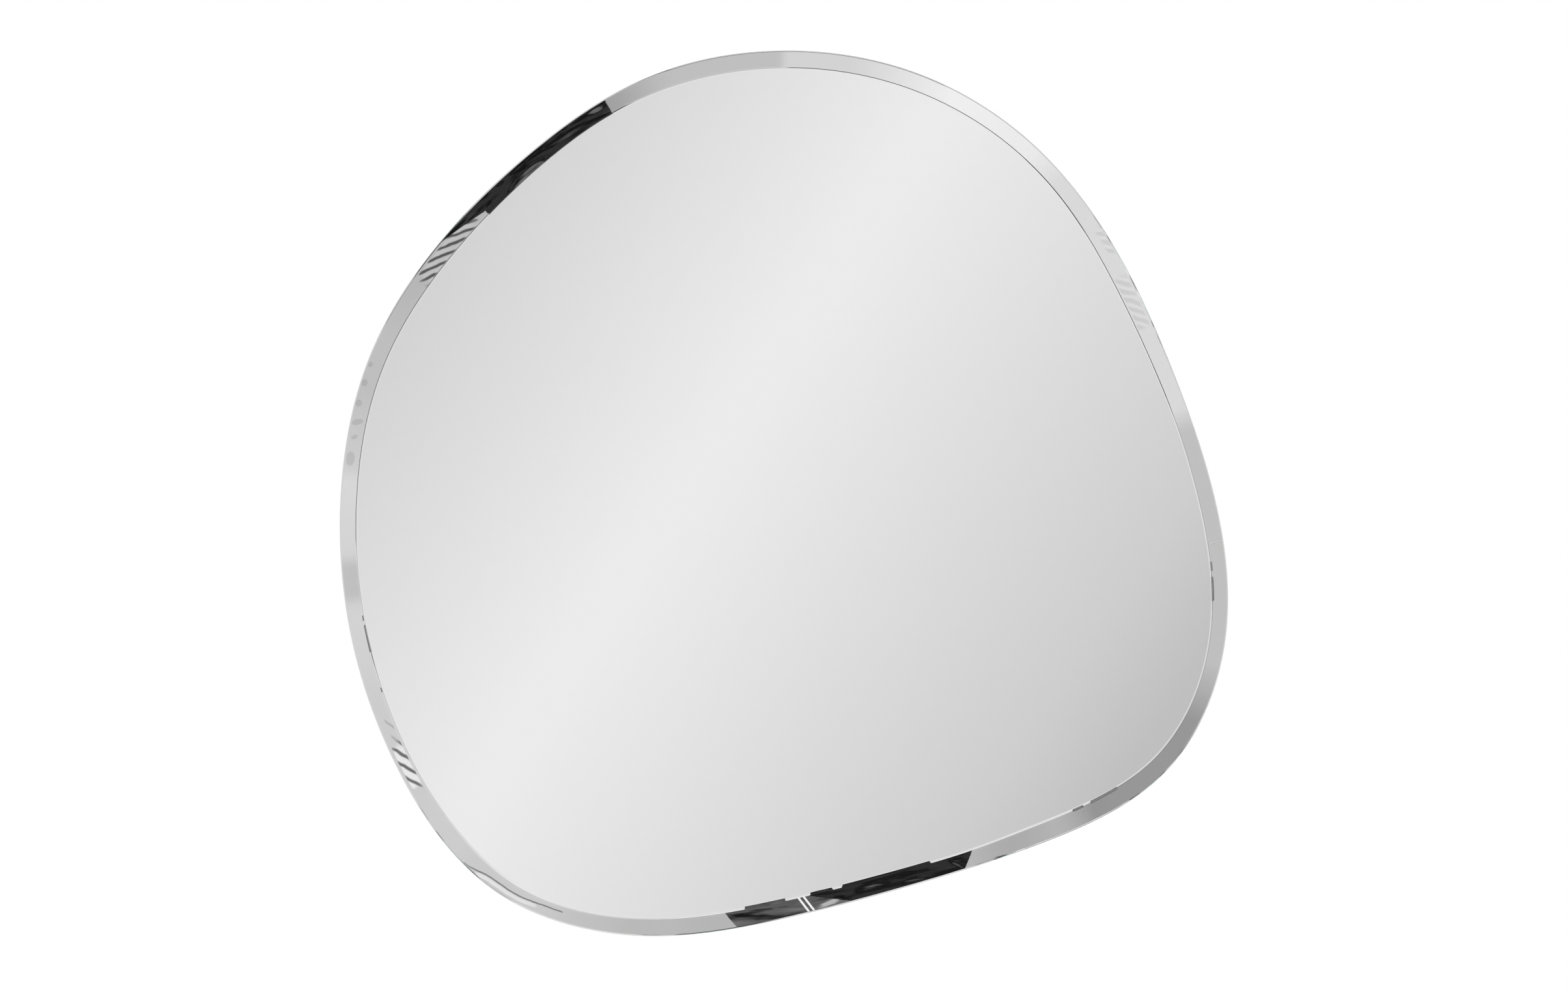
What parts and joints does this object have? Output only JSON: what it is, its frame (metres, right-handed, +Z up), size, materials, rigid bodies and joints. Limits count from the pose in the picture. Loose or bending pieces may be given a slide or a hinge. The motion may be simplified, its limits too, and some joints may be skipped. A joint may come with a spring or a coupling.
{
  "type": "irregular shaped mirror",
  "caption": "Frameless wall mirror with an organic pebble outline, a broad polished bevel, a backing board, bumper pads and two swinging ring hangers.",
  "frame": {"origin": "on the wall plane, behind the middle of the mirror's outline", "axes": "+X to the right as seen from the front, +Y from the mirror into the wall, +Z up; the glass faces -Y"},
  "size_m": [0.9144, 0.0237, 0.911],
  "materials": {
    "glass": "clear float glass, polished bevel",
    "silver": "bright silver reflecting layer",
    "back_paint": "grey protective lacquer, matt",
    "foam": "closed-cell foam tape, matt",
    "adhesive": "cured mirror adhesive, satin",
    "fibreboard": "medium-density fibreboard, smooth matt faces",
    "pad_glue": "clear pressure-sensitive adhesive",
    "rubber": "black moulded rubber, satin",
    "zinc_steel": "bright zinc-plated steel"
  },
  "bodies": {
    "mirror": {"bevelled_glass": "glass", "silver_coating": "silver", "protective_paint": "back_paint", "foam_tape": "foam", "adhesive_dabs": "adhesive", "backing_board": "fibreboard", "bumper_glue_discs": "pad_glue", "bumper_upper_right": "rubber", "bumper_upper_left": "rubber", "bumper_lower_left": "rubber", "bumper_lower_right": "rubber", "left_hanger_strap": "zinc_steel", "left_hanger_screws": "zinc_steel", "right_hanger_strap": "zinc_steel", "right_hanger_screws": "zinc_steel"},
    "left_ring": {"left_hanger_ring": "zinc_steel"},
    "right_ring": {"right_hanger_ring": "zinc_steel"}
  },
  "joints": [
    {"name": "left_ring_swing", "type": "hinge", "parent": "mirror", "child": "left_ring", "pos_m": [-0.22, -0.00496, 0.215], "axis": [-1, 0, 0], "range_deg": [-3, 175]},
    {"name": "right_ring_swing", "type": "hinge", "parent": "mirror", "child": "right_ring", "pos_m": [0.22, -0.00496, 0.215], "axis": [-1, 0, 0], "range_deg": [-3, 175]}
  ]
}
